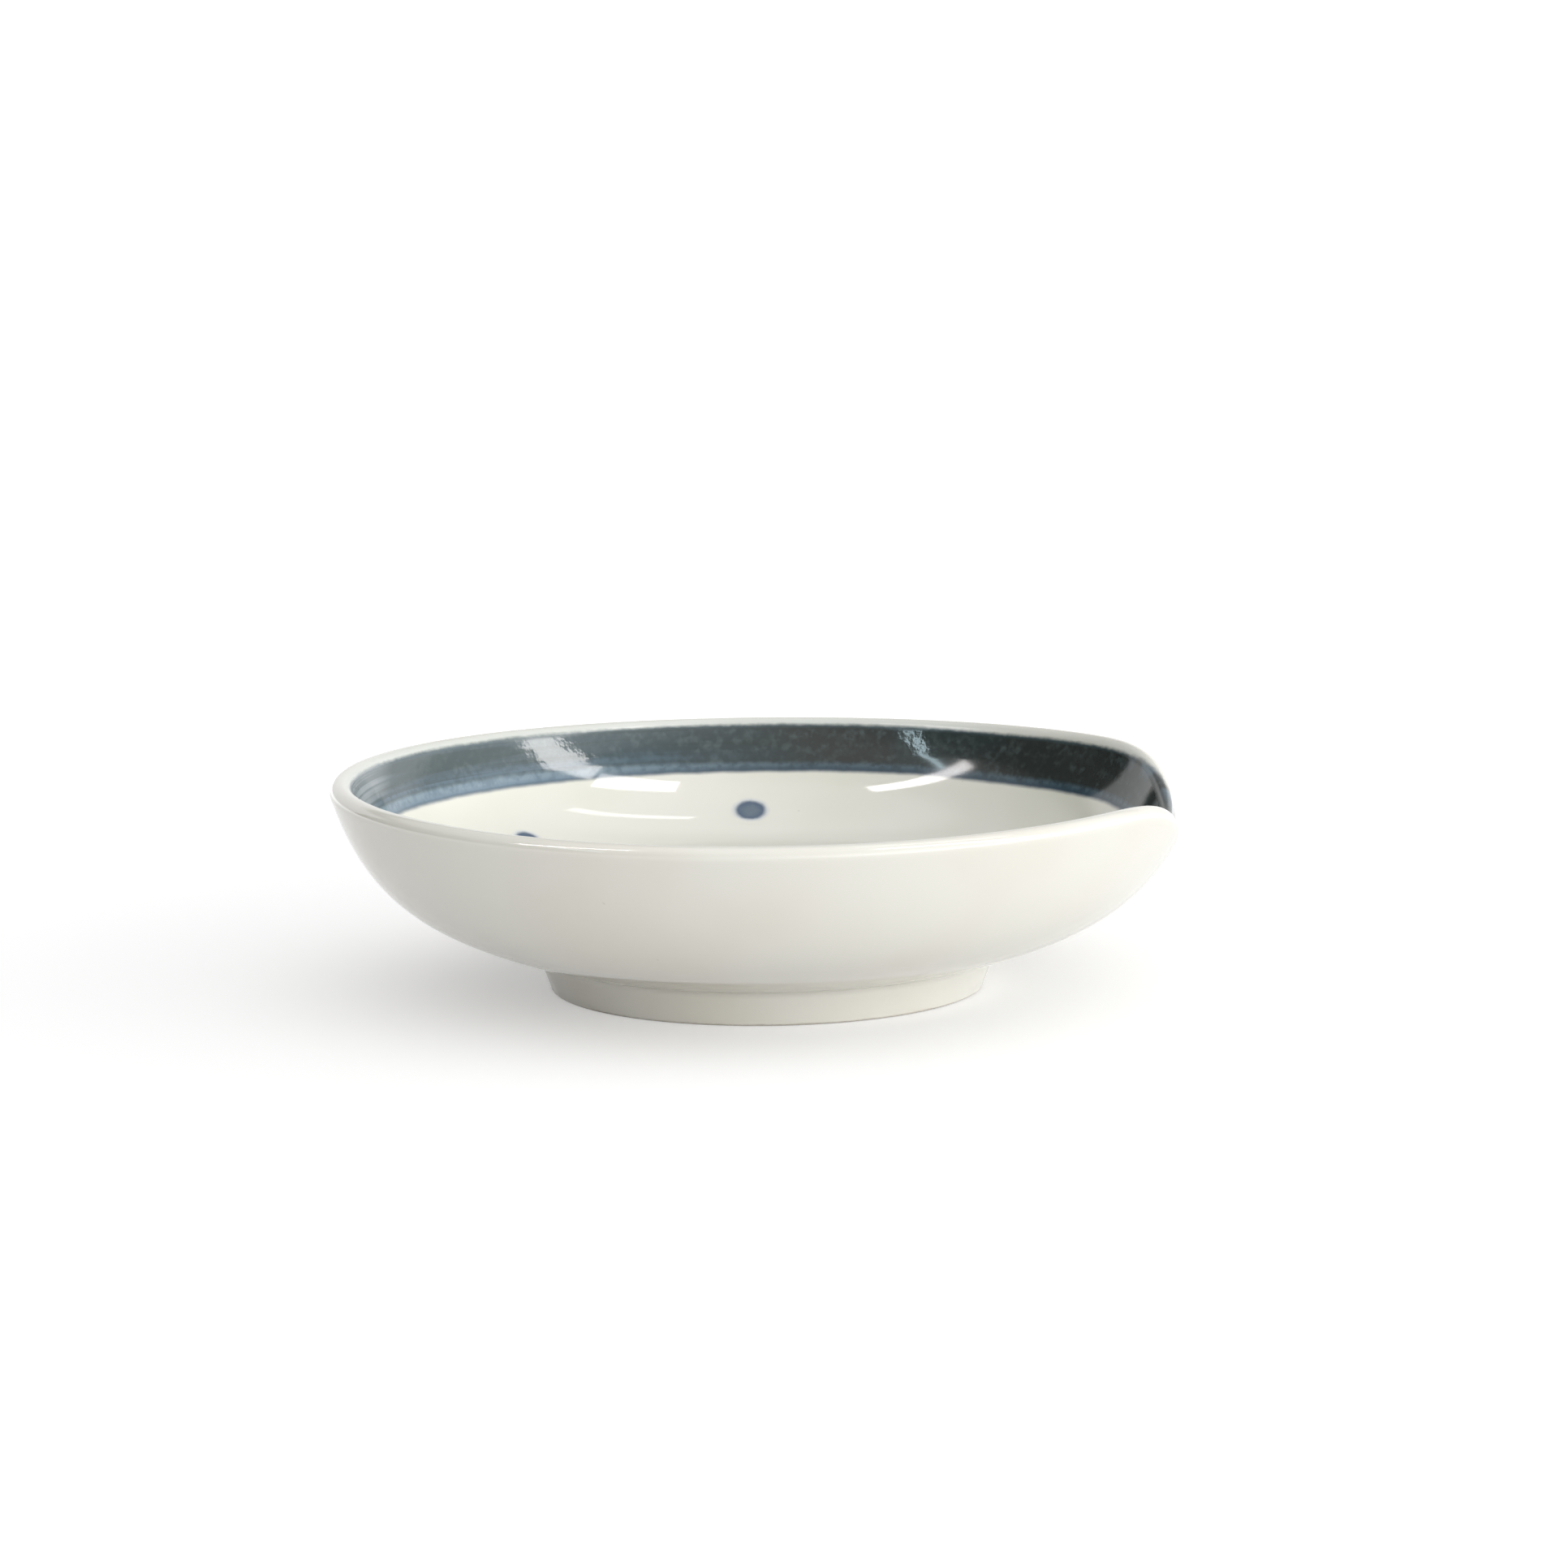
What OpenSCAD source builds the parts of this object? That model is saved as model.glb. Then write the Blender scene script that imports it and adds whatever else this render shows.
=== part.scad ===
// Soy sauce dish: a bowl with a pouring dip in its rim, on a foot ring.
// The brushed band and the dots inside are painted layers, let flush into the inner face.
// Millimetres. The origin is the middle of the foot's resting face, +Z is up and the dip faces +X.

/* [Bowl] */
// Outer diameter over the rim
outer_d = 100; // [84:1:120]
// Height of the rim above the table
rim_h = 24.5; // [21:0.5:32]
// Thickness of the rounded lip
lip_t = 2.5; // [1.8:0.1:3.5]
// Thickness of the base at its middle
base_t = 3.8; // [2.5:0.1:5]
// Slope of the wall at the lip, in degrees
lip_slope = 71; // [62:1:78]
// Slope of the outer wall where it leaves the foot, in degrees
foot_slope = 15; // [8:1:20]
// How far the outer wall holds its slope down from the lip
outer_lip_reach = 10.7; // [8:0.1:13]
// How far the outer wall holds its slope out from the foot
outer_foot_reach = 14.6; // [11:0.1:17]
// How far the inner wall holds its slope down from the lip
inner_lip_reach = 15.5; // [12:0.1:17]
// How far the inside floor runs level from the middle
inner_floor_reach = 36; // [30:0.5:38]
// How much the rim rises and falls around the dish
rim_sway = 0.3; // [0:0.05:0.6]

/* [Pouring dip] */
// Depth of the dip below the rim
dip_depth = 4.7; // [2:0.1:6]
// Width of the dip, measured along the rim
dip_w = 70; // [50:1:84]
// How much further down the outer edge is rounded off in the dip
dip_soft = 1.8; // [0:0.1:2.5]
// How sharply the sides of the dip turn down
dip_turn = 1.7; // [1:0.1:2.2]

/* [Foot ring] */
// Height of the foot ring
foot_h = 4.2; // [3:0.1:5.5]
// Outer diameter of the foot ring at the table
foot_d = 50.2; // [40:0.1:56]
// Width of the foot ring at the table
foot_w = 4.5; // [3:0.1:7]
// How much the outer side widens from the table to the neck
foot_flare = 1; // [0.5:0.1:2]
// How much the inner side leans in from the table to the base
foot_lean = 0.8; // [0:0.1:1.5]
// Rounding of the two lower edges
foot_round = 0.4; // [0.3:0.1:1.2]
// Hollow rounding where the foot meets the bowl
neck_round = 1.1; // [0.5:0.1:2]

/* [Painting] */
// Thickness of the painted layers
paint_t = 0.3; // [0.2:0.05:0.5]
// Bare gap between the lip and the band, measured downwards
band_gap = 0.35; // [0.2:0.05:1]
// Height of the band below that gap
band_h = 5.2; // [4:0.1:7]
// How far the band's lower edge follows the dip down
band_follow = 2; // [1:0.1:3]
// Diameter of a dot
dot_d = 3.4; // [2:0.1:5]
// How far the ring of dots lies in from the outside of the rim
dot_inset = 10; // [8:0.5:20]
// Angle from the dip to the first dot, in degrees
dot_start = 5.5; // [0:0.5:45]

/* [Hidden] */

// How far each dot, set by hand, lies outside the ring and strays round it, in millimetres and degrees
dot_wander = [-0.4, -1.8, 1.7, 0, 0.4, -0.6, 0.5, -0.3];
dot_stray = [0.6, -0.9, 0, -1.4, 0.8, 0.3, -1.1, 0.5];
dot_count = len(dot_wander);

// Steps around the dish, and along each stretch of the profile
turn_steps = 72;
outer_steps = 10;
cap_steps = 6;
band_steps = 3;
inner_steps = 10;
table_steps = 60;
arc_steps = 6;
dot_sides = 48;

// Share of the gap across a round lip that its handles reach up
cap_handle = 2 / 3;

foot_r = foot_d / 2;
neck_r = foot_r + foot_flare;
seat_r = neck_r + neck_round;
foot_inner_r = foot_r - foot_w;
floor_h = foot_h + base_t;
dot_ring_r = outer_d / 2 - dot_inset;
dip_half_angle = dip_w / outer_d * 180 / PI;

// The two sides of the wall as curves of radius and height, both rising to the lip
lip_along = [cos(lip_slope), sin(lip_slope)];
lip_across = [sin(lip_slope), -cos(lip_slope)];
lip_middle = [outer_d - lip_t, 2 * rim_h - lip_t] / 2;
outer_end = lip_middle + lip_across * lip_t / 2;
inner_end = lip_middle - lip_across * lip_t / 2;
foot_joint = [seat_r, foot_h];
floor_middle = [0, floor_h];
outer_curve = [foot_joint,
               foot_joint + outer_foot_reach * [cos(foot_slope), sin(foot_slope)],
               outer_end - outer_lip_reach * lip_along,
               outer_end];
inner_curve = [floor_middle,
               floor_middle + [inner_floor_reach, 0],
               inner_end - inner_lip_reach * lip_along,
               inner_end];

function on_curve(c, s) =
    pow(1 - s, 3) * c[0] + 3 * pow(1 - s, 2) * s * c[1] + 3 * (1 - s) * s * s * c[2] + pow(s, 3) * c[3];
function along_curve(c, s) =
    let (d = pow(1 - s, 2) * (c[1] - c[0]) + 2 * (1 - s) * s * (c[2] - c[1]) + s * s * (c[3] - c[2]))
    d / norm(d);

// Tables that give the place along a curve from a height or a radius
outer_by_height = [for (k = [0:table_steps]) [on_curve(outer_curve, k / table_steps)[1], k / table_steps]];
inner_by_height = [for (k = [0:table_steps]) [on_curve(inner_curve, k / table_steps)[1], k / table_steps]];
inner_by_radius = [for (k = [0:table_steps]) [on_curve(inner_curve, k / table_steps)[0], k / table_steps]];

// 1 at the bottom of the dip, 0 outside it
function dip_at(turn) =
    pow(0.5 + 0.5 * cos(180 * min(abs(turn) / dip_half_angle, 1)), dip_turn);

// Where the two sides of the wall stop under the lip, and where the band lies
function outer_stop(turn) =
    lookup(outer_end[1] - (dip_depth + dip_soft) * dip_at(turn), outer_by_height);
function inner_stop(turn) = lookup(inner_end[1] - dip_depth * dip_at(turn), inner_by_height);
function band_top(turn) = lookup(inner_end[1] - dip_depth * dip_at(turn) - band_gap, inner_by_height);
function band_low(turn) =
    lookup(inner_end[1] - band_gap - band_h - band_follow * dip_at(turn), inner_by_height);

// A point of the inner face, and the same point one paint layer inside the wall
function inner_face(s) = on_curve(inner_curve, s);
function under_paint(s) =
    let (along = along_curve(inner_curve, s))
    inner_face(s) + paint_t * [along[1], -along[0]];

// The lip at one angle: a rounded cap from the outer wall over to the inner wall
function cap(turn) =
    let (a = outer_stop(turn),
         b = inner_stop(turn),
         from = on_curve(outer_curve, a),
         to = on_curve(inner_curve, b),
         reach = cap_handle * norm(to - from))
    [from, from + reach * along_curve(outer_curve, a), to + reach * along_curve(inner_curve, b), to];

// The bowl's profile at one angle: up the outside, over the lip, round the band's bed and in to the middle
function bowl_profile(turn) =
    let (a = outer_stop(turn), top = band_top(turn), low = band_low(turn), lip = cap(turn))
    concat([for (k = [0:outer_steps]) on_curve(outer_curve, a * k / outer_steps)],
           [for (k = [1:cap_steps]) on_curve(lip, k / cap_steps)],
           [inner_face(top)],
           [for (k = [0:band_steps]) under_paint(top + (low - top) * k / band_steps)],
           [for (k = [0:inner_steps - 1]) inner_face(low * (1 - k / inner_steps))]);

// The band's profile at one angle: up the back and down the front
function band_profile(turn) =
    let (top = band_top(turn), low = band_low(turn))
    concat([for (k = [0:band_steps]) under_paint(low + (top - low) * k / band_steps)],
           [for (k = [0:band_steps]) inner_face(top + (low - top) * k / band_steps)]);

// A profile's point turned to its angle, with the rim's sway growing from the foot up
function sway(p, turn) =
    rim_sway * cos(2 * turn) * pow(max(p[1] - foot_h, 0) / (rim_h - foot_h), 2);
function turned(p, turn) = [p[0] * cos(turn), p[0] * sin(turn), p[1] + sway(p, turn)];

turns = [for (i = [0:turn_steps - 1]) 360 * i / turn_steps - 180];

// Two triangles for each cell between neighbouring profiles
function cell(a, b, c, d) = [[a, d, c], [a, c, b]];
function skin(count, closed) =
    [for (i = [0:turn_steps - 1], j = [0:count - (closed ? 1 : 2)])
        let (i2 = (i + 1) % turn_steps, j2 = (j + 1) % count)
        each cell(i * count + j, i2 * count + j, i2 * count + j2, i * count + j2)];

module bowl_body() {
    profiles = [for (turn = turns) bowl_profile(turn)];
    count = len(profiles[0]);
    under_middle = turn_steps * count;
    over_middle = under_middle + 1;
    points = concat([for (i = [0:turn_steps - 1], p = profiles[i]) turned(p, turns[i])],
                    [[0, 0, foot_h], [0, 0, floor_h]]);
    under = [for (i = [0:turn_steps - 1]) [under_middle, i * count, (i + 1) % turn_steps * count]];
    over = [for (i = [0:turn_steps - 1])
        [over_middle, ((i + 1) % turn_steps + 1) * count - 1, (i + 1) * count - 1]];
    polyhedron(points, concat(skin(count, false), under, over), convexity = 6);
}

// Places a disc-shaped layer on the inner face, with its top at height 0
module at_dot(k) {
    turn = dot_start + (k - 1) * 360 / dot_count + dot_stray[k - 1];
    s = lookup(dot_ring_r + dot_wander[k - 1], inner_by_radius);
    along = along_curve(inner_curve, s);
    translate(turned(inner_face(s), turn))
        rotate([0, -atan2(along[1], along[0]), turn])
            children();
}

module bowl() {
    color("ivory")
        difference() {
            bowl_body();
            for (k = [1:dot_count])
                at_dot(k)
                    translate([0, 0, -paint_t])
                        cylinder(h = dot_d, d = dot_d, $fn = dot_sides);
        }
}

module foot_ring() {
    function arc(middle, r, from, to) =
        [for (k = [0:arc_steps])
            let (a = from + (to - from) * k / arc_steps)
            middle + r * [cos(a), sin(a)]];
    outline = concat(arc([foot_r - foot_round, foot_round], foot_round, -90, 0),
                     arc([seat_r, foot_h - neck_round], neck_round, 180, 90),
                     [[foot_inner_r - foot_lean, foot_h]],
                     arc([foot_inner_r + foot_round, foot_round], foot_round, 180, 270));
    color("linen")
        rotate_extrude($fn = turn_steps)
            polygon(outline);
}

module rim_band() {
    profiles = [for (turn = turns) band_profile(turn)];
    count = len(profiles[0]);
    points = [for (i = [0:turn_steps - 1], p = profiles[i]) turned(p, turns[i])];
    color("darkslategray")
        polyhedron(points, skin(count, true), convexity = 6);
}

module dot(k) {
    color("steelblue")
        at_dot(k)
            translate([0, 0, -paint_t])
                cylinder(h = paint_t, d = dot_d, $fn = dot_sides);
}

bowl();
foot_ring();
rim_band();
for (k = [1:dot_count])
    dot(k);
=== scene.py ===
import math

import bpy
import numpy as np
from mathutils import Matrix, Vector


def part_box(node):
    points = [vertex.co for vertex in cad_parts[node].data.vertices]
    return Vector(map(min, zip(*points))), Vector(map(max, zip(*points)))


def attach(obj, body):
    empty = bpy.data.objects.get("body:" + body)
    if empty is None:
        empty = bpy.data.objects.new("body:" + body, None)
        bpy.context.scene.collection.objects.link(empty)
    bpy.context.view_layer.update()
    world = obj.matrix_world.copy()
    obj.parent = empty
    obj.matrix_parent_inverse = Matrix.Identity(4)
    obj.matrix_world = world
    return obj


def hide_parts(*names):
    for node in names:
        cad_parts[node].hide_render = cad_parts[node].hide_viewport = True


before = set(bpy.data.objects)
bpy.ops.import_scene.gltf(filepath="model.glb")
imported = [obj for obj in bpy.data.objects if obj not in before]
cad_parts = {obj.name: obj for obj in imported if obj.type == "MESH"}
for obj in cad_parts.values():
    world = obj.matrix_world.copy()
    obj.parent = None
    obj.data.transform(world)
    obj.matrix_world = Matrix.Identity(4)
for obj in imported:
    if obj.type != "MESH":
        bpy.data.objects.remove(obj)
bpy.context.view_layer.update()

MM = 0.001

# Sizes of the dish in millimetres and degrees, the same values as in the part's own source
LIP_T = 2.5
BASE_T = 3.8
LIP_SLOPE = 71.0
FOOT_SLOPE = 15.0
OUTER_LIP_REACH = 10.7
OUTER_FOOT_REACH = 14.6
INNER_LIP_REACH = 15.5
INNER_FLOOR_REACH = 36.0
RIM_SWAY = 0.3
DIP_DEPTH = 4.7
DIP_W = 70.0
DIP_SOFT = 1.8
FOOT_D = 50.2
FOOT_W = 4.5
FOOT_FLARE = 1.0
FOOT_LEAN = 0.8
FOOT_ROUND = 0.4
NECK_ROUND = 1.1
PAINT_T = 0.3
BAND_GAP = 0.35
BAND_H = 5.2
BAND_FOLLOW = 2.0
DOT_D = 3.4
DOT_INSET = 10.0
DOT_START = 5.5
# How far each dot lies outside the ring and strays round it
DOT_WANDER = [-0.4, -1.8, 1.7, 0.0, 0.4, -0.6, 0.5, -0.3]
DOT_STRAY = [0.6, -0.9, 0.0, -1.4, 0.8, 0.3, -1.1, 0.5]
# How sharply the sides of the dip turn down
DIP_TURN = 1.7
# Share of the gap across a round lip that its handles reach up
CAP_HANDLE = 2 / 3

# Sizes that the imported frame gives
bowl_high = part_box("bowl")[1]
OUTER_D = 2 * bowl_high.y / MM
RIM_H = bowl_high.z / MM - RIM_SWAY
FOOT_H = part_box("foot_ring")[1].z / MM

# Steps around the dish and along each stretch of the profile
TURN_STEPS = 360
UNDER_STEPS = 12
OUTER_STEPS = 30
CAP_STEPS = 18
GAP_STEPS = 2
BAND_STEPS = 14
INNER_STEPS = 60
TABLE_STEPS = 400
ARC_STEPS = 10
DOT_RINGS = 12
DOT_SECTORS = 48

# The dots' layers reach past the paint, so that its soft edge lies on them
DOT_LAYER = 0.8
# A dot's layer stands this far proud of the inner face
DOT_LIFT = 0.02
# Half axes of the painted mark, along the rim and down the wall
DOT_LONG = 1.9
DOT_SHORT = 1.52


def ray(degrees):
    return np.array([math.cos(math.radians(degrees)), math.sin(math.radians(degrees))])


# Curves of the wall: four control points each, as radius and height
lip_along = ray(LIP_SLOPE)
lip_across = np.array([lip_along[1], -lip_along[0]])
lip_middle = np.array([OUTER_D - LIP_T, 2 * RIM_H - LIP_T]) / 2
outer_end = lip_middle + lip_across * LIP_T / 2
inner_end = lip_middle - lip_across * LIP_T / 2
foot_r = FOOT_D / 2
neck_r = foot_r + FOOT_FLARE
seat_r = neck_r + NECK_ROUND
foot_joint = np.array([seat_r, FOOT_H])
floor_middle = np.array([0.0, FOOT_H + BASE_T])
OUTER_CURVE = [foot_joint,
               foot_joint + OUTER_FOOT_REACH * ray(FOOT_SLOPE),
               outer_end - OUTER_LIP_REACH * lip_along,
               outer_end]
INNER_CURVE = [floor_middle,
               floor_middle + np.array([INNER_FLOOR_REACH, 0.0]),
               inner_end - INNER_LIP_REACH * lip_along,
               inner_end]
dip_half_angle = math.degrees(DIP_W / OUTER_D)


def on_curve(curve, s):
    """Points of a curve at the places s, which run from 0 to 1."""
    s = np.asarray(s)[..., None]
    t = 1 - s
    return t ** 3 * curve[0] + 3 * t ** 2 * s * curve[1] + 3 * t * s ** 2 * curve[2] + s ** 3 * curve[3]


def along_curve(curve, s):
    """The way that a curve runs at the places s."""
    s = np.asarray(s)[..., None]
    t = 1 - s
    first, second, third = curve[1] - curve[0], curve[2] - curve[1], curve[3] - curve[2]
    way = t ** 2 * first + 2 * t * s * second + s ** 2 * third
    return way / np.linalg.norm(way, axis=-1, keepdims=True)


table_s = np.linspace(0, 1, TABLE_STEPS)
outer_table = on_curve(OUTER_CURVE, table_s)
inner_table = on_curve(INNER_CURVE, table_s)
inner_lengths = np.concatenate([[0], np.cumsum(np.linalg.norm(np.diff(inner_table, axis=0), axis=1))])


def dip_at(turn):
    """1 at the bottom of the pouring dip, 0 outside it."""
    return (0.5 + 0.5 * np.cos(np.pi * np.minimum(np.abs(turn) / dip_half_angle, 1))) ** DIP_TURN


def by_height(table, height):
    """The place along a wall's curve at which it has a height."""
    return np.interp(height, table[:, 1], table_s)


def turned(points, turn):
    """Points of radius and height, turned to their angle, with the rim's sway growing from the foot up."""
    r, z = points[..., 0], points[..., 1]
    a = np.radians(turn)
    share = np.maximum(z - FOOT_H, 0) / (RIM_H - FOOT_H)
    sway = RIM_SWAY * np.cos(2 * a) * share ** 2
    return np.stack([r * np.cos(a), r * np.sin(a), z + sway], axis=-1)


def spread(start, stop, steps, first=0):
    """For each angle, places from start to stop; first=1 leaves the first one out."""
    share = np.arange(first, steps + 1) / steps
    return start[:, None] + (stop - start)[:, None] * share


def lip_caps(outer_stop, inner_stop):
    """For each angle, points of the rounded lip from the outer wall over to the inner wall."""
    start, stop = on_curve(OUTER_CURVE, outer_stop), on_curve(INNER_CURVE, inner_stop)
    reach = CAP_HANDLE * np.linalg.norm(stop - start, axis=1, keepdims=True)
    over_start = start + reach * along_curve(OUTER_CURVE, outer_stop)
    over_stop = stop + reach * along_curve(INNER_CURVE, inner_stop)
    places = np.arange(1, CAP_STEPS + 1) / CAP_STEPS
    return np.array([on_curve(cap, places) for cap in zip(start, over_start, over_stop, stop)])


TURNS = np.arange(TURN_STEPS) * 360 / TURN_STEPS - 180


class Surface:
    """The dish's glazed face as one grid: up the outside, over the lip and in to the middle of the floor."""

    def __init__(self):
        dip = dip_at(TURNS)
        outer_stop = by_height(outer_table, outer_end[1] - (DIP_DEPTH + DIP_SOFT) * dip)
        inner_stop = by_height(inner_table, inner_end[1] - DIP_DEPTH * dip)
        band_top = by_height(inner_table, inner_end[1] - DIP_DEPTH * dip - BAND_GAP)
        band_low = by_height(inner_table, inner_end[1] - BAND_GAP - BAND_H - BAND_FOLLOW * dip)
        outer_first = np.zeros(TURN_STEPS)
        inner_last = np.full(TURN_STEPS, 1 / INNER_STEPS)
        profile = np.concatenate([
            on_curve(OUTER_CURVE, spread(outer_first, outer_stop, OUTER_STEPS)),
            lip_caps(outer_stop, inner_stop),
            on_curve(INNER_CURVE, spread(inner_stop, band_top, GAP_STEPS, 1)),
            on_curve(INNER_CURVE, spread(band_top, band_low, BAND_STEPS, 1)),
            on_curve(INNER_CURVE, spread(band_low, inner_last, INNER_STEPS, 1))], axis=1)
        lip_column = OUTER_STEPS + CAP_STEPS
        self.band_first = lip_column + GAP_STEPS
        self.band_last = self.band_first + BAND_STEPS
        self.points = turned(profile, TURNS[:, None])
        self.normals = self.find_normals()
        lengths = np.linalg.norm(np.diff(profile, axis=1), axis=2)
        lengths = np.concatenate([np.zeros((TURN_STEPS, 1)), np.cumsum(lengths, axis=1)], axis=1)
        self.lip_gap = lengths - lengths[:, lip_column, None]
        self.band_rise = self.lip_gap[:, self.band_last, None] - self.lip_gap
        self.dip = np.repeat(dip[:, None], profile.shape[1], axis=1)

    def find_normals(self):
        around = np.roll(self.points, -1, axis=0) - np.roll(self.points, 1, axis=0)
        along = np.gradient(self.points, axis=1)
        normals = np.cross(around, along)
        return normals / np.linalg.norm(normals, axis=2, keepdims=True)

    def marks(self, columns):
        """What the paint's shader reads at each point, in millimetres but for the dip."""
        grids = {"lip_gap": self.lip_gap, "band_rise": self.band_rise, "dip": self.dip}
        return {name: grid[:, columns] for name, grid in grids.items()}


# Marks of a point that no paint reaches: far down the outside, and far below the band
BARE = {"lip_gap": -100.0, "band_rise": -100.0, "dip": 0.0}


# Meshes

def new_piece(name, points, faces, normals, marks, material, node):
    mesh = bpy.data.meshes.new(name)
    mesh.from_pydata((np.reshape(points, (-1, 3)) * MM).tolist(), [], faces)
    mesh.polygons.foreach_set("use_smooth", [True] * len(mesh.polygons))
    for mark, values in marks.items():
        layer = mesh.attributes.new(mark, "FLOAT", "POINT")
        layer.data.foreach_set("value", np.asarray(values, dtype=np.float32).ravel())
    mesh.update()
    mesh.normals_split_custom_set_from_vertices(np.reshape(normals, (-1, 3)).tolist())
    mesh.materials.append(material)
    piece = bpy.data.objects.new(name, mesh)
    bpy.context.scene.collection.objects.link(piece)
    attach(piece, "root")
    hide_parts(node)


def ring_faces(rows, columns, closed):
    """Four-sided faces of a grid that runs right round; closed joins the last column to the first."""
    faces = []
    for i in range(rows):
        i2 = (i + 1) % rows
        for j in range(columns if closed else columns - 1):
            j2 = (j + 1) % columns
            faces.append((i * columns + j, i2 * columns + j, i2 * columns + j2, i * columns + j2))
    return faces


def bowl_piece(surface, material):
    """The whole bowl, with the bed of the band let into its inner face."""
    first, last = surface.band_first, surface.band_last
    under_shape = (TURN_STEPS, UNDER_STEPS - 1)
    radii = seat_r * np.arange(1, UNDER_STEPS) / UNDER_STEPS
    under = np.stack([np.broadcast_to(radii, under_shape), np.full(under_shape, FOOT_H)], axis=-1)
    under = turned(under, TURNS[:, None])
    down = np.zeros_like(under)
    down[..., 2] = -1
    bed = surface.points[:, first:last + 1] - PAINT_T * surface.normals[:, first:last + 1]
    columns = np.r_[0:first + 1, first:last + 1, last:surface.points.shape[1]]
    points = np.concatenate([under, surface.points[:, :first + 1], bed, surface.points[:, last:]], axis=1)
    normals = np.concatenate([down, surface.normals[:, columns]], axis=1)
    count = points.shape[1]
    faces = ring_faces(TURN_STEPS, count, False)
    under_middle = TURN_STEPS * count
    over_middle = under_middle + 1
    for i in range(TURN_STEPS):
        i2 = (i + 1) % TURN_STEPS
        faces.append((under_middle, i2 * count, i * count))
        faces.append((over_middle, (i + 1) * count - 1, (i2 + 1) * count - 1))
    middles = [[0, 0, FOOT_H], turned(floor_middle, 0.0)]
    marks = {}
    for name, values in surface.marks(columns).items():
        grid = np.concatenate([np.full(under_shape, BARE[name]), values], axis=1)
        marks[name] = np.concatenate([grid.ravel(), [BARE[name]] * len(middles)])
    all_points = np.concatenate([points.reshape(-1, 3), middles])
    all_normals = np.concatenate([normals.reshape(-1, 3), [[0, 0, -1], [0, 0, 1]]])
    new_piece("bowl_glazed", all_points, faces, all_normals, marks, material, "bowl")


def band_piece(surface, material):
    """The painted layer under the lip: its front is part of the dish's face, and its back lies in the bed."""
    columns = np.arange(surface.band_first, surface.band_last + 1)
    front, outward = surface.points[:, columns], surface.normals[:, columns]
    back = front - PAINT_T * outward
    points = np.concatenate([back[:, ::-1], front], axis=1)
    normals = np.concatenate([-outward[:, ::-1], outward], axis=1)
    marks = surface.marks(np.concatenate([columns[::-1], columns]))
    faces = ring_faces(TURN_STEPS, points.shape[1], True)
    new_piece("rim_band_painted", points, faces, normals, marks, material, "rim_band")


def inner_point(s, turn):
    """A point of the inner face and the way that the face looks there."""
    along = along_curve(INNER_CURVE, s)
    normal = np.stack([-along[..., 1], along[..., 0]], axis=-1)
    a = np.radians(turn)
    out = np.stack([normal[..., 0] * np.cos(a), normal[..., 0] * np.sin(a), normal[..., 1]], axis=-1)
    return turned(on_curve(INNER_CURVE, s), turn), out


def dot_piece(k, material):
    """A thin round layer that follows the inner face."""
    turn = DOT_START + k * 360 / len(DOT_WANDER) + DOT_STRAY[k]
    r = OUTER_D / 2 - DOT_INSET + DOT_WANDER[k]
    middle = np.interp(np.interp(r, inner_table[:, 0], table_s), table_s, inner_lengths)
    rings = (DOT_D / 2 + DOT_LAYER) * np.arange(1, DOT_RINGS + 1) / DOT_RINGS
    angles = 2 * np.pi * np.arange(DOT_SECTORS) / DOT_SECTORS
    across = np.outer(np.cos(angles), rings)
    up = np.outer(np.sin(angles), rings)
    s = np.interp(middle + up, inner_lengths, table_s)
    face, normals = inner_point(s, turn - np.degrees(across / r))
    centre, centre_normal = inner_point(np.interp(middle, inner_lengths, table_s), np.array(turn))
    front, back = face + DOT_LIFT * normals, face - PAINT_T * normals
    points = np.concatenate([front, back[:, ::-1]], axis=1)
    count = points.shape[1]
    faces = [corners[::-1] for corners in ring_faces(DOT_SECTORS, count, False)]
    front_middle = DOT_SECTORS * count
    back_middle = front_middle + 1
    for i in range(DOT_SECTORS):
        i2 = (i + 1) % DOT_SECTORS
        faces.append((front_middle, i * count, i2 * count))
        faces.append((back_middle, (i2 + 1) * count - 1, (i + 1) * count - 1))
    middles = [centre + DOT_LIFT * centre_normal, centre - PAINT_T * centre_normal]
    reach = np.hypot(across / DOT_LONG, up / DOT_SHORT)
    reach = np.concatenate([reach, reach[:, ::-1]], axis=1)
    marks = {"dot_reach": np.concatenate([reach.ravel(), [0] * len(middles)])}
    all_points = np.concatenate([points.reshape(-1, 3), middles])
    grid_normals = np.concatenate([normals, -normals[:, ::-1]], axis=1).reshape(-1, 3)
    all_normals = np.concatenate([grid_normals, [centre_normal, -centre_normal]])
    node = f"dot_{k + 1}"
    new_piece(f"{node}_painted", all_points, faces, all_normals, marks, material, node)


def arc(middle, r, start, stop):
    angles = np.radians(start + (stop - start) * np.arange(ARC_STEPS + 1) / ARC_STEPS)
    return np.array(middle) + r * np.stack([np.cos(angles), np.sin(angles)], axis=1)


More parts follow.
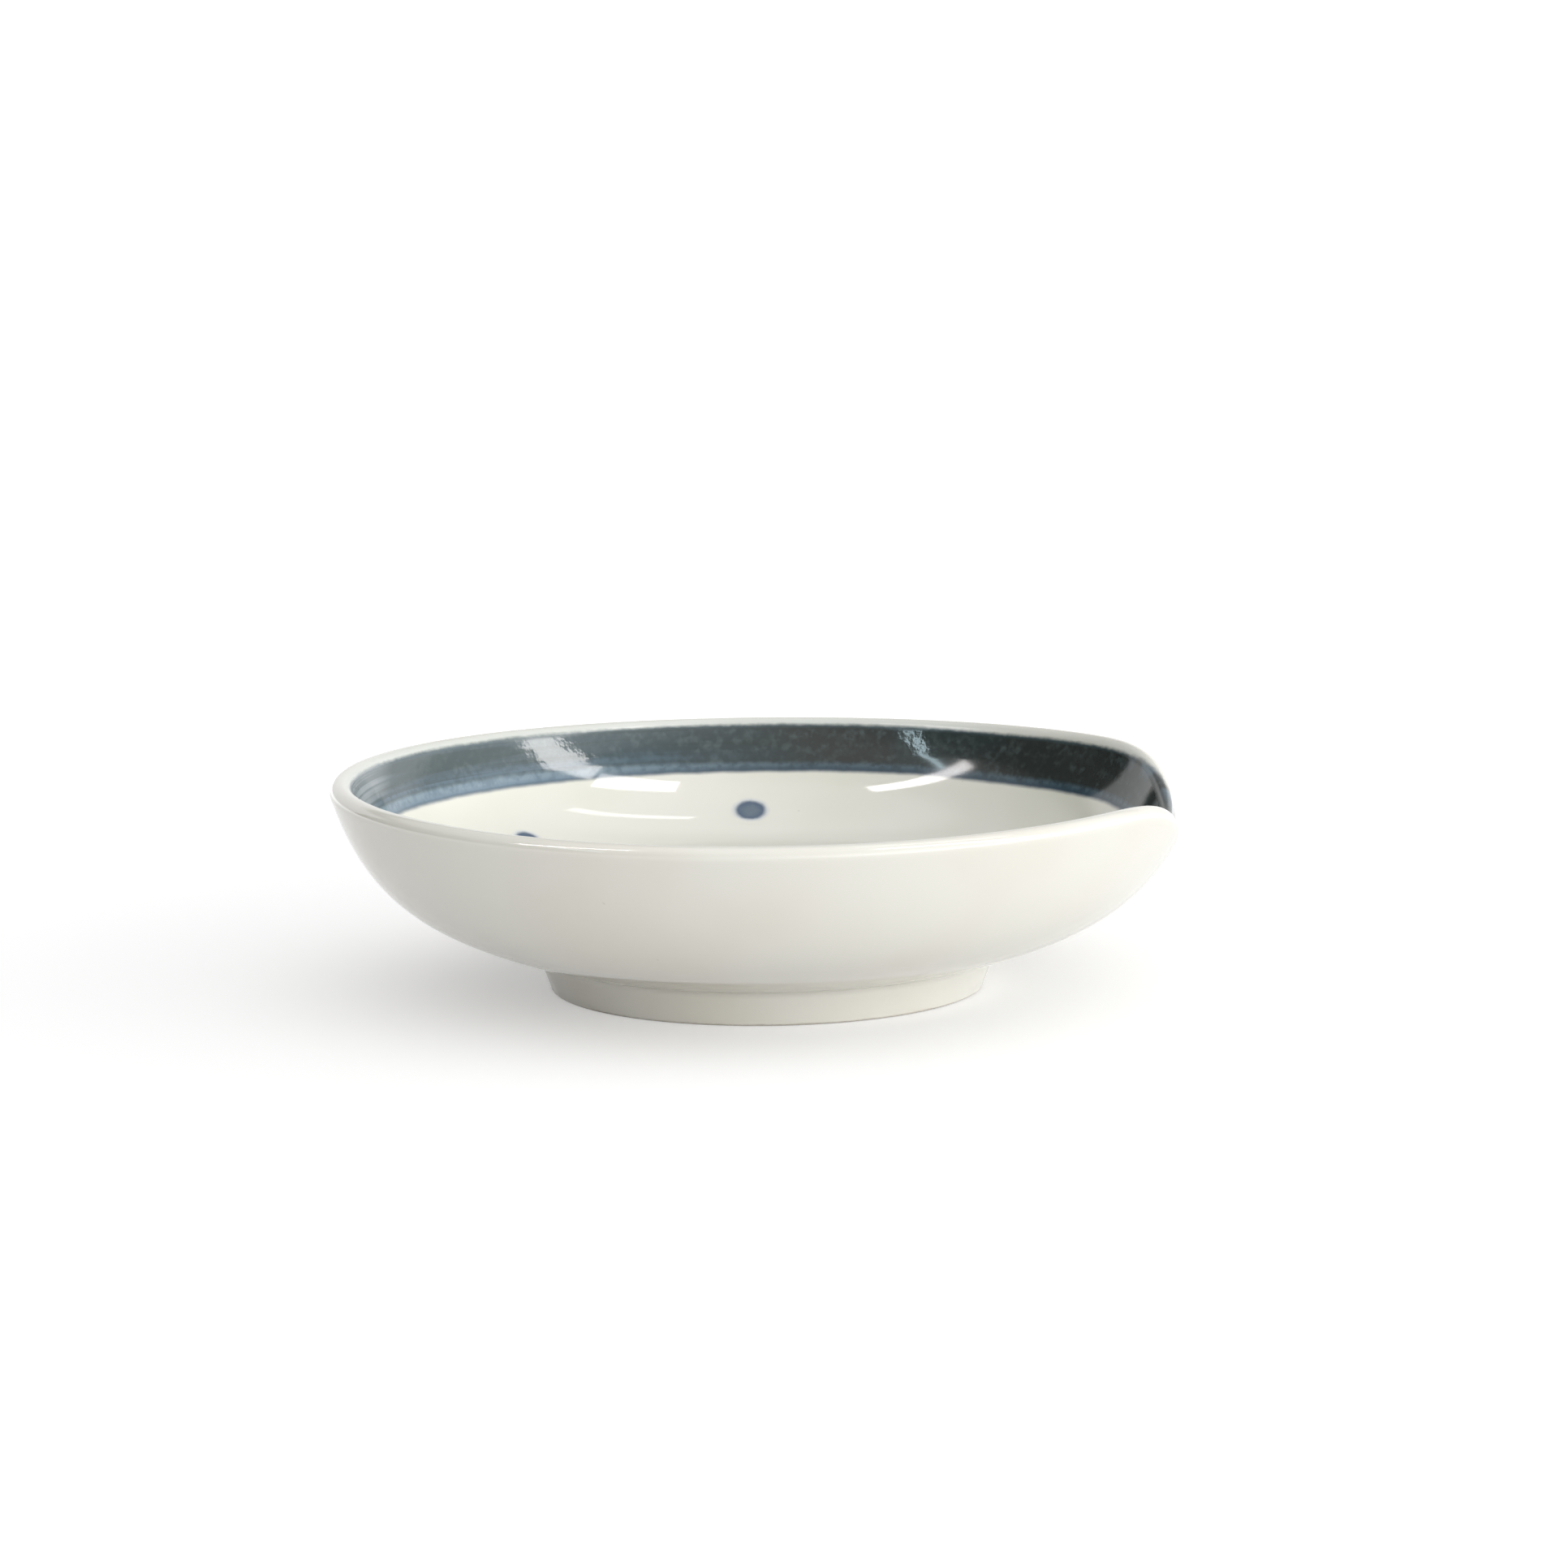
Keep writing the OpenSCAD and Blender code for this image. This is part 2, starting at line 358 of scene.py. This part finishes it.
def foot_piece(material):
    """The foot ring, with its two rounded lower edges and the hollow neck."""
    inner_r = foot_r - FOOT_W
    outline = np.concatenate([
        arc([foot_r - FOOT_ROUND, FOOT_ROUND], FOOT_ROUND, -90, 0),
        arc([seat_r, FOOT_H - NECK_ROUND], NECK_ROUND, 180, 90),
        [[inner_r - FOOT_LEAN, FOOT_H]],
        arc([inner_r + FOOT_ROUND, FOOT_ROUND], FOOT_ROUND, 180, 270)])
    points = turned(np.broadcast_to(outline, (TURN_STEPS,) + outline.shape), TURNS[:, None])
    edges = np.roll(outline, -1, axis=0) - outline
    edges /= np.linalg.norm(edges, axis=1, keepdims=True)
    along = edges + np.roll(edges, 1, axis=0)
    along /= np.linalg.norm(along, axis=1, keepdims=True)
    a = np.radians(TURNS)[:, None]
    upward = np.broadcast_to(-along[:, 0], (TURN_STEPS, len(along)))
    normals = np.stack([along[:, 1] * np.cos(a), along[:, 1] * np.sin(a), upward], axis=-1)
    faces = ring_faces(TURN_STEPS, len(outline), True)
    new_piece("foot_ring_glazed", points, faces, normals, {}, material, "foot_ring")


# Materials

WHITE_OUTSIDE = (0.808, 0.782, 0.705)
WHITE_INSIDE = (0.786, 0.789, 0.698)
WHITE_THIN = (0.830, 0.820, 0.750)
INDIGO_DARK = (0.025, 0.031, 0.029)
INDIGO_MID = (0.024, 0.044, 0.047)
INDIGO_THIN = (0.012, 0.042, 0.046)
INDIGO_PALE = (0.100, 0.138, 0.138)
ROW_BLUE = (0.070, 0.125, 0.170)
STRIPE_DARK = (0.030, 0.056, 0.100)
STRIPE_BLUE = (0.043, 0.078, 0.107)
STRIPE_PALE = (0.078, 0.126, 0.154)
STRIPE_THIN = (0.150, 0.228, 0.295)
PALE_THIN = (0.210, 0.295, 0.355)
PALE_END = (0.400, 0.440, 0.470)
# Grey-blue painted shade on the inner half of the rounded lip, where it turns away from the light
LIP_SHADE_TINT = (0.42, 0.49, 0.50)
DOT_EDGE = (0.055, 0.098, 0.170)
DOT_MIDDLE = (0.098, 0.150, 0.200)
HALO_BLUE = (0.45, 0.52, 0.60)
BARE_CLAY = (0.66, 0.62, 0.55)

GLAZE_IOR = 1.65
GLAZE_ROUGHNESS = (0.045, 0.070)
# Roughness added on the lip, on the paint and on bare clay
LIP_SATIN = 0.2
PAINT_SATIN = 0.03
CLAY_ROUGHNESS = 0.6
# Heights of the waves in the glaze, the lumps in the paint and the grit in the clay
GLAZE_WAVES = 0.007 * MM
PAINT_LUMPS = 0.03 * MM
CLAY_GRIT = 0.02 * MM

# Stretches along which the band changes, in metres from the middle of the dish towards the dip
NEAR_DIP = (0.012, 0.030)
THIN_PAINT = (0.006, -0.036)
BRUSH_LINES = (-0.018, -0.028)
THINNEST_PAINT = (-0.0447, -0.0468)
LESS_MOTTLE = (-0.036, -0.044)
# Between these the painted shade on the lip grows weaker towards the dip
LESS_LIP_SHADE = (0.010, 0.035)
HIGHER_LUMPS = (0.012, 0.022)
FLATTER_LUMPS = (0.022, 0.030)

# Levels between which parts of the band come in or fade out, in millimetres above its lower edge
LOWER_EDGE = (-0.25, 0.45)
STRIPE_EDGE = (0.7, 0.1)
STRIPE_LINE = (0.5, 1.1)
STRIPE_TOP = (1.65, 0.85)
ROW_FOOT = (1.5, 2.2)
ROW_TOP = (3.5, 2.3)
PALE_LINES_TOP = (3.6, 2.2)
LUMPS_FOOT = (1.5, 2.9)

# The same in millimetres below the band's upper edge
UPPER_EDGE = -0.2
UPPER_SOFTNESS = 0.42
PALE_EDGE = (0.75, 0.1)
STREAKS_END = (2.6, 0.6)

# The same in millimetres past the inner end of the rounded lip
INSIDE_START = (-2.0, 1.0)
# The painted shade on the lip comes in between these
LIP_SHADE_START = (-2.2, -0.2)
SATIN_START = (-1.9, -0.9)
SATIN_END = (0.6, 0.0)

# In the dip the paint climbs this far over the lip, and its upper edge is softer by the second value
DIP_CLIMB = 3.4
DIP_SOFTER = 1.1
# Near the dip the band's lower and upper edges lie lower by these
LOWER_DROP = 0.4
UPPER_DROP = 0.25

# Bare clay comes in between these two heights on the foot, with an edge that wanders by up to CLAY_WANDER
CLAY_EDGE = (0.55 * MM, 0.4 * MM)
CLAY_WANDER = 0.5 * MM

# Noise is turned off the axes by these angles, in radians, where its grid would show
SKEW = (0.6, 0.5, 0.4)

# Numbers of a Mix node's two inputs and its result for each kind, because the kinds share their names
MIX_SOCKETS = {"FLOAT": (2, 3, 0), "RGBA": (6, 7, 2)}


class Nodes:
    """Adds nodes to one tree: every method returns the socket that carries its result."""

    def __init__(self, tree):
        self.tree = tree

    def put(self, kind, inputs, output=0, **settings):
        """Adds a node, links or sets its inputs and returns one of its outputs."""
        node = self.tree.nodes.new(kind)
        for key, value in settings.items():
            setattr(node, key, value)
        for key, value in inputs.items():
            if isinstance(value, bpy.types.NodeSocket):
                self.tree.links.new(value, node.inputs[key])
            else:
                node.inputs[key].default_value = value
        return None if output is None else node.outputs[output]

    def place(self):
        return self.put("ShaderNodeTexCoord", {}, "Object")

    def part(self, place, axis):
        """How far a place lies along one axis, in metres."""
        return self.put("ShaderNodeSeparateXYZ", {0: place}, axis)

    def math(self, operation, a, b, c=0.0):
        return self.put("ShaderNodeMath", {0: a, 1: b, 2: c}, operation=operation)

    def times(self, first, *others):
        """All the values multiplied."""
        for other in others:
            first = self.math("MULTIPLY", first, other)
        return first

    def plus(self, value, other, share):
        """A value with a share of another one added."""
        return self.math("MULTIPLY_ADD", other, share, value)

    def ease(self, value, start, stop, low=0.0, high=1.0):
        """Runs smoothly from low to high as the value goes from start to stop."""
        inputs = {"Value": value, "From Min": start, "From Max": stop, "To Min": low, "To Max": high}
        return self.put("ShaderNodeMapRange", inputs, interpolation_type="SMOOTHSTEP")

    def mix(self, share, first, second, kind="RGBA"):
        """The first colour or value, giving way to the second by the share."""
        first_key, second_key, result = MIX_SOCKETS[kind]
        inputs = {"Factor": share}
        for key, value in ((first_key, first), (second_key, second)):
            inputs[key] = value if isinstance(value, bpy.types.NodeSocket) else (*value, 1.0)
        return self.put("ShaderNodeMix", inputs, result, data_type=kind)


class Shader(Nodes):
    """Builds the nodes of one glazed material."""

    def __init__(self, name):
        self.material = bpy.data.materials.new(name)
        self.material.use_nodes = True
        super().__init__(self.material.node_tree)

    def mark(self, name):
        return self.put("ShaderNodeAttribute", {}, "Fac", attribute_name=name)

    def askew(self, place):
        """Places turned off the axes, so that no grid shows in the noise."""
        return self.put("ShaderNodeMapping", {"Vector": place, "Rotation": SKEW})

    def noise(self, place, scale, detail, roughness=0.5):
        inputs = {"Vector": place, "Scale": scale, "Detail": detail, "Roughness": roughness}
        return self.put("ShaderNodeTexNoise", inputs, "Fac")

    def brushed(self, place, rise, along, up, detail):
        """Noise drawn out along the rim: its scales are per metre along it and per millimetre up the wall."""
        x, y = (self.times(self.part(place, axis), along) for axis in "XY")
        drawn_out = self.put("ShaderNodeCombineXYZ", {"X": x, "Y": y, "Z": self.times(rise, up)})
        return self.noise(drawn_out, 1.0, detail)

    def bump(self, height, distance, normal=None):
        """The face's own normal, or the given one, tilted by a relief."""
        inputs = {"Height": height, "Distance": distance, "Strength": 1.0}
        if normal is not None:
            inputs["Normal"] = normal
        return self.put("ShaderNodeBump", inputs)

    def finish(self, colour, roughness, normal):
        glaze = self.tree.nodes["Principled BSDF"]
        self.tree.links.new(colour, glaze.inputs["Base Color"])
        self.tree.links.new(roughness, glaze.inputs["Roughness"])
        self.tree.links.new(normal, glaze.inputs["Normal"])
        glaze.inputs["IOR"].default_value = GLAZE_IOR
        return self.material


def white_glaze(shader, place, inside):
    """White body colour under the clear glaze: faint clouding and a few tiny iron specks."""
    clouds = shader.noise(place, scale=45.0, detail=2.0)
    white = shader.mix(inside, WHITE_OUTSIDE, WHITE_INSIDE)
    white = shader.mix(shader.ease(clouds, 0.35, 0.65), white, WHITE_THIN)
    specks = shader.noise(place, scale=700.0, detail=1.0)
    return shader.mix(shader.ease(specks, 0.81, 0.84, high=0.5), white, BARE_CLAY)


def glaze_normal(shader, place):
    """Slow waves left by throwing and firing."""
    return shader.bump(shader.noise(place, scale=110.0, detail=2.0), GLAZE_WAVES)


def glaze_roughness(shader, place):
    return shader.ease(shader.noise(place, scale=160.0, detail=2.0), 0.3, 0.7, *GLAZE_ROUGHNESS)


class Brushwork:
    """What the parts of the band share: where a point lies on it, and the brush's marks there."""

    def __init__(self, shader, place):
        self.side = shader.part(place, "X")
        self.lip_gap = shader.mark("lip_gap")
        self.dip = shader.mark("dip")
        self.near_dip = shader.ease(self.side, *NEAR_DIP)
        self.thin = shader.ease(self.side, *THIN_PAINT)
        self.lined = shader.ease(self.side, *BRUSH_LINES)
        self.rise = shader.plus(shader.mark("band_rise"), self.near_dip, LOWER_DROP)
        self.rows = shader.brushed(place, self.rise, along=30.0, up=1.0, detail=1.0)
        self.lines = shader.brushed(place, self.rise, along=14.0, up=1.7, detail=2.0)
        self.mottle = shader.noise(shader.askew(place), scale=1050.0, detail=1.5)
        wobble = shader.noise(place, scale=320.0, detail=3.0)
        self.level = shader.plus(self.rise, wobble, 0.3)
        below_top = shader.plus(self.lip_gap, self.dip, DIP_CLIMB)
        below_top = shader.plus(below_top, self.near_dip, -UPPER_DROP)
        below_top = shader.plus(below_top, wobble, 0.2)
        self.below_top = shader.plus(below_top, self.mottle, 0.3)


def thick_paint(shader, place, brush):
    """Indigo: near black where it is thick, blue where it runs thin, with mottling, rows and brush lines."""
    strokes = shader.brushed(place, brush.rise, along=80.0, up=0.05, detail=1.0)
    paint = shader.mix(shader.ease(strokes, 0.46, 0.54, high=0.4), INDIGO_DARK, INDIGO_MID)
    paint = shader.mix(brush.thin, paint, INDIGO_THIN)
    clouds = shader.noise(place, scale=380.0, detail=1.0)
    fullness = shader.times(shader.ease(brush.rows, 0.35, 0.65, low=0.45),
                            shader.ease(clouds, 0.38, 0.62, low=0.3),
                            shader.plus(0.45, brush.thin, 0.25),
                            shader.ease(brush.side, *LESS_MOTTLE, low=1.0, high=0.3))
    mottling = shader.times(shader.ease(brush.mottle, 0.4, 0.75), fullness)
    paint = shader.mix(mottling, paint, INDIGO_PALE)
    row_marks = shader.times(shader.ease(brush.rows, 0.46, 0.60, high=0.3), brush.thin)
    paint = shader.mix(row_marks, paint, ROW_BLUE)
    pale_lines = shader.times(shader.ease(brush.lines, 0.50, 0.62, high=0.65), brush.lined,
                              shader.ease(brush.level, *PALE_LINES_TOP))
    paint = shader.mix(pale_lines, paint, ROW_BLUE)
    row_above = shader.times(shader.ease(brush.level, *ROW_FOOT), shader.ease(brush.level, *ROW_TOP),
                             shader.ease(brush.mottle, 0.3, 0.6, low=0.5), brush.thin)
    paint = shader.mix(row_above, paint, ROW_BLUE)
    dark_lines = shader.times(shader.ease(brush.lines, 0.48, 0.36, high=0.6), brush.lined)
    return shader.mix(dark_lines, paint, INDIGO_THIN)


def stripe_paint(shader, brush):
    """The bluer stripe along the band's lower edge."""
    paint = shader.mix(brush.thin, STRIPE_BLUE, STRIPE_THIN)
    specks = shader.times(shader.ease(brush.mottle, 0.6, 0.35), shader.plus(0.35, brush.thin, -0.25))
    paint = shader.mix(specks, paint, INDIGO_MID)
    paint = shader.mix(shader.ease(brush.level, *STRIPE_EDGE, high=0.7), paint, STRIPE_DARK)
    pale_line = shader.times(shader.ease(brush.level, *STRIPE_LINE), shader.ease(brush.mottle, 0.3, 0.65))
    return shader.mix(pale_line, paint, shader.mix(brush.thin, STRIPE_PALE, PALE_THIN))


def whole_paint(shader, place, brush):
    """The thick paint over its stripe, palest at the end away from the dip and streaked in the dip."""
    shelf = shader.plus(brush.level, brush.thin, -0.45)
    paint = shader.mix(shader.ease(shelf, *STRIPE_TOP), thick_paint(shader, place, brush),
                       stripe_paint(shader, brush))
    palest = shader.times(shader.ease(brush.side, *THINNEST_PAINT, high=0.8),
                          shader.ease(brush.lines, 0.38, 0.58, low=0.45))
    paint = shader.mix(palest, paint, PALE_END)
    streaks = shader.brushed(place, brush.rise, along=260.0, up=0.25, detail=2.0)
    streaks = shader.times(shader.ease(streaks, 0.42, 0.62), shader.ease(brush.dip, 0.02, 0.3),
                           shader.ease(brush.below_top, *STREAKS_END, high=0.7))
    paint = shader.mix(streaks, paint, STRIPE_THIN)
    return shader.mix(shader.ease(brush.below_top, *PALE_EDGE, high=0.55), paint, STRIPE_PALE)


def paint_relief(shader, place, brush, cover):
    """Lumps in the upper part of the paint, flatter near the dip."""
    lumps = shader.noise(shader.askew(place), scale=560.0, detail=3.0, roughness=0.55)
    lumps = shader.plus(lumps, brush.mottle, 0.25)
    level = shader.plus(brush.level, shader.ease(brush.side, *HIGHER_LUMPS), -1.2)
    return shader.times(lumps, cover, shader.ease(level, *LUMPS_FOOT),
                        shader.ease(brush.side, *FLATTER_LUMPS, low=1.0, high=0.25))


def band_paint(shader, place, white):
    """The colour of the white glaze with painted shade on the lip's inner slope and the band brushed on it,
    the band's relief and added roughness.
    """
    brush = Brushwork(shader, place)
    lower = shader.ease(brush.level, *LOWER_EDGE)
    softness = shader.plus(UPPER_SOFTNESS, brush.dip, DIP_SOFTER)
    upper = shader.ease(brush.below_top, UPPER_EDGE, softness)
    cover = shader.times(lower, upper)
    # Painted shade: a grey-blue tone on the inner half of the rounded lip and above the band, weaker near the
    # dip
    lip_shade = shader.times(lower, shader.ease(brush.lip_gap, *LIP_SHADE_START, high=0.45),
                        shader.ease(brush.side, *LESS_LIP_SHADE, low=1.0, high=0.6))
    shaded_white = shader.mix(lip_shade, white, LIP_SHADE_TINT)
    colour = shader.mix(cover, shaded_white, whole_paint(shader, place, brush))
    satin = shader.times(shader.ease(brush.lip_gap, *SATIN_START), shader.ease(brush.lip_gap, *SATIN_END),
                         LIP_SATIN)
    satin = shader.plus(satin, cover, PAINT_SATIN)
    return colour, paint_relief(shader, place, brush, cover), satin


def painted_material(name):
    shader = Shader(name)
    place = shader.place()
    inside = shader.ease(shader.mark("lip_gap"), *INSIDE_START)
    colour, relief, satin = band_paint(shader, place, white_glaze(shader, place, inside))
    normal = shader.bump(relief, PAINT_LUMPS, glaze_normal(shader, place))
    roughness = shader.math("ADD", glaze_roughness(shader, place), satin)
    return shader.finish(colour, roughness, normal)


def dot_material(name):
    """Blue that pools towards the dot's edge, with a faint halo in the glaze around it."""
    shader = Shader(name)
    place = shader.place()
    white = white_glaze(shader, place, 1.0)
    wobble = shader.noise(place, scale=700.0, detail=2.0)
    reach = shader.plus(shader.mark("dot_reach"), wobble, 0.22)
    halo = shader.mix(shader.ease(reach, 1.5, 1.05, high=0.6), white, HALO_BLUE)
    pools = shader.plus(reach, shader.noise(place, scale=900.0, detail=3.0), 0.6)
    blue = shader.mix(shader.ease(pools, 0.7, 1.3), DOT_MIDDLE, DOT_EDGE)
    colour = shader.mix(shader.ease(reach, 1.25, 0.9), halo, blue)
    return shader.finish(colour, glaze_roughness(shader, place), glaze_normal(shader, place))


def foot_material(name):
    """Glazed sides, and bare fired clay where the ring meets the table."""
    shader = Shader(name)
    place = shader.place()
    wobble = shader.noise(place, scale=250.0, detail=3.0)
    height = shader.plus(shader.part(place, "Z"), wobble, CLAY_WANDER)
    bare = shader.ease(height, *CLAY_EDGE)
    grain = shader.noise(place, scale=2500.0, detail=4.0)
    clay = shader.mix(shader.ease(grain, 0.3, 0.7, high=0.35), BARE_CLAY, WHITE_OUTSIDE)
    colour = shader.mix(bare, white_glaze(shader, place, 0.0), clay)
    roughness = shader.plus(glaze_roughness(shader, place), bare, CLAY_ROUGHNESS)
    normal = shader.bump(shader.times(grain, bare), CLAY_GRIT, glaze_normal(shader, place))
    return shader.finish(colour, roughness, normal)


# Stage, light and camera

# The photograph's camera, in millimetres and degrees, turned a little from the front of the dish
VIEW_TURN = 3.0
CAMERA_DISTANCE = 585.1
CAMERA_ELEVATION = 11.07
CAMERA_AIM = (2.175, 0.0, 23.32)
CAMERA_ROLL = -0.58
CAMERA_LENS = 115.8
CAMERA_SENSOR = 36.0
CAMERA_NEAR = 10.0

# The floor, in metres
FLOOR_SIZE = 60.0
# It turns up this far at its back edge, so that the camera doesn't look past it
FLOOR_UPTURN = 0.5
# It lies this far under the foot, so that the two faces don't share a plane
FLOOR_DROP = 0.02 * MM
FLOOR_COLOUR = (0.75, 0.75, 0.75)
# It is shown lighter than it is lit, and pure white from FLOOR_FAR on
FLOOR_GLOW = 0.35
FLOOR_NEAR = 0.10
FLOOR_FAR = 0.50

# The room is rings of light from the horizon up. Each has an even level, a level that is added towards the
# bright side, and how sharply that falls off.
BRIGHT_SIDE = -23.5
ROOM_RINGS = [(0.03, 4.00, 2.4), (0.08, 2.25, 2.6), (0.60, 0.60, 3.0), (1.15, 0.00, 1.0)]
# The heights, as sines, between which each ring gives way to the next
ROOM_STEPS = [(0.19, 0.30), (0.46, 0.60), (0.80, 0.90)]
# A white board stands behind the dish. Its two side edges are given by the ways that they face, in degrees
# round and up, and its upper edge by its height as a sine. All are a little soft.
BOARD_LEFT = (47.5, 27.0)
BOARD_RIGHT = (138.0, 0.0)
BOARD_SIDE_SOFT = 0.01
BOARD_TOP = 0.42
BOARD_TOP_SOFT = 0.05
BOARD_LIGHT = 0.95

# Soft boxes: the two ends of the long side as directions from the dish (degrees round and up), distance and
# width in metres, brightness and colour
LAMPS = {
    "window_right": ((-9.5, 22.0), (-24.0, 42.5), 0.9, 0.14, 7.5, (1.0, 0.98, 0.96)),
    "window_right_high": ((-20.5, 46.0), (-45.0, 60.5), 0.9, 0.14, 7.5, (1.0, 0.98, 0.96)),
    "window_left": ((-160.0, 36.0), (-140.0, 62.0), 0.9, 0.075, 11.0, (1.0, 0.96, 0.95)),
    "window_far_left": ((-129.0, 28.0), (-153.0, 41.0), 0.9, 0.024, 8.5, (0.70, 0.92, 1.0)),
    "strip_above": ((14.0, 56.0), (54.0, 75.2), 1.0, 0.055, 3.6, (1.0, 1.0, 1.0)),
}


def turn_point(x, y, z, degrees):
    a = math.radians(degrees)
    return Vector((x * math.cos(a) - y * math.sin(a), x * math.sin(a) + y * math.cos(a), z))


def make_camera():
    back, height = CAMERA_DISTANCE * ray(CAMERA_ELEVATION)
    eye = turn_point(0, -back, height, VIEW_TURN) * MM
    aim = turn_point(*CAMERA_AIM, VIEW_TURN) * MM
    data = bpy.data.cameras.new("camera")
    data.lens = CAMERA_LENS
    data.sensor_width = CAMERA_SENSOR
    data.clip_start = CAMERA_NEAR * MM
    camera = bpy.data.objects.new("camera", data)
    look = (aim - eye).to_track_quat("-Z", "Y").to_matrix().to_4x4()
    roll = Matrix.Rotation(math.radians(CAMERA_ROLL), 4, "Z")
    camera.matrix_world = Matrix.Translation(eye) @ look @ roll
    bpy.context.scene.collection.objects.link(camera)
    bpy.context.scene.camera = camera


def way_to(around, up):
    around, up = math.radians(around), math.radians(up)
    return Vector((math.cos(around) * math.cos(up), math.sin(around) * math.cos(up), math.sin(up)))


def make_lamp(name, start, stop, distance, width, brightness, colour):
    """A flat soft box that faces the dish, with its long side from start to stop; only gloss shows it."""
    first, last = way_to(*start) * distance, way_to(*stop) * distance
    back = ((first + last) / 2).normalized()
    along = (last - first).normalized()
    across = along.cross(back)
    data = bpy.data.lights.new(name, "AREA")
    data.shape = "RECTANGLE"
    data.size, data.size_y = width, (last - first).length
    data.energy = brightness * math.pi * data.size * data.size_y
    data.color = colour
    lamp = bpy.data.objects.new(name, data)
    lamp.visible_camera = False
    lamp.visible_diffuse = False
    turn = Matrix((across, along, back)).transposed().to_4x4()
    lamp.matrix_world = Matrix.Translation((first + last) / 2) @ turn
    bpy.context.scene.collection.objects.link(lamp)


def floor_material():
    """Pale paper that keeps the shadow, with a white glow for what sees it straight or in a reflection."""
    material = bpy.data.materials.new("floor")
    material.use_nodes = True
    material.node_tree.nodes.clear()
    nodes = Nodes(material.node_tree)
    paths = nodes.put("ShaderNodeLightPath", {}).node.outputs
    seen = nodes.math("MAXIMUM", paths["Is Camera Ray"], paths["Is Glossy Ray"])
    seen = nodes.math("MAXIMUM", seen, paths["Is Transmission Ray"])
    away = nodes.put("ShaderNodeVectorMath", {0: nodes.place()}, "Value", operation="LENGTH")
    glow = nodes.ease(away, FLOOR_NEAR, FLOOR_FAR, low=FLOOR_GLOW)
    shine = nodes.put("ShaderNodeEmission", {"Strength": nodes.times(seen, glow)})
    paper = nodes.put("ShaderNodeBsdfDiffuse", {"Color": (*FLOOR_COLOUR, 1.0)})
    both = nodes.put("ShaderNodeAddShader", {0: paper, 1: shine})
    nodes.put("ShaderNodeOutputMaterial", {"Surface": both}, None)
    return material


def make_floor():
    half = FLOOR_SIZE / 2
    corners = [(-half, -half, 0), (half, -half, 0), (half, half, 0), (-half, half, 0),
               (half, half, FLOOR_UPTURN), (-half, half, FLOOR_UPTURN)]
    mesh = bpy.data.meshes.new("floor")
    mesh.from_pydata(corners, [], [(0, 1, 2, 3), (3, 2, 4, 5)])
    mesh.materials.append(floor_material())
    floor = bpy.data.objects.new("floor", mesh)
    floor.location.z = -FLOOR_DROP
    bpy.context.scene.collection.objects.link(floor)


def make_world():
    """A room that is brighter on one side and overhead, with the white board behind the dish."""
    world = bpy.data.worlds.new("room")
    bpy.context.scene.world = world
    world.use_nodes = True
    nodes = Nodes(world.node_tree)
    way = nodes.put("ShaderNodeTexCoord", {}, "Generated")
    height = nodes.part(way, "Z")

    def towards(around, up):
        inputs = {0: way, 1: way_to(around, up)}
        return nodes.put("ShaderNodeVectorMath", inputs, "Value", operation="DOT_PRODUCT")

    brighter = nodes.plus(0.5, towards(BRIGHT_SIDE, 0.0), 0.5)

    def ring(even, side, fall):
        return nodes.plus(even, nodes.math("POWER", brighter, fall), side)

    light = ring(*ROOM_RINGS[0])
    for step, levels in zip(ROOM_STEPS, ROOM_RINGS[1:]):
        light = nodes.mix(nodes.ease(height, *step), light, ring(*levels), "FLOAT")
    board = nodes.times(nodes.ease(towards(*BOARD_LEFT), -BOARD_SIDE_SOFT, BOARD_SIDE_SOFT),
                        nodes.ease(towards(*BOARD_RIGHT), -BOARD_SIDE_SOFT, BOARD_SIDE_SOFT),
                        nodes.ease(height, BOARD_TOP + BOARD_TOP_SOFT, BOARD_TOP - BOARD_TOP_SOFT),
                        BOARD_LIGHT)
    background = world.node_tree.nodes["Background"]
    world.node_tree.links.new(nodes.math("MAXIMUM", board, light), background.inputs["Strength"])
    background.inputs["Color"].default_value = (1.0, 1.0, 1.0, 1.0)


# The dish and its stage

surface = Surface()
bowl_piece(surface, painted_material("white_glaze"))
band_piece(surface, painted_material("indigo_band"))
foot_piece(foot_material("foot_glaze"))
dot_look = dot_material("blue_dot")
for index in range(len(DOT_WANDER)):
    dot_piece(index, dot_look)

make_camera()
make_floor()
make_world()
for lamp_name, lamp in LAMPS.items():
    make_lamp(lamp_name, *lamp)
bpy.context.scene.view_settings.view_transform = "Standard"
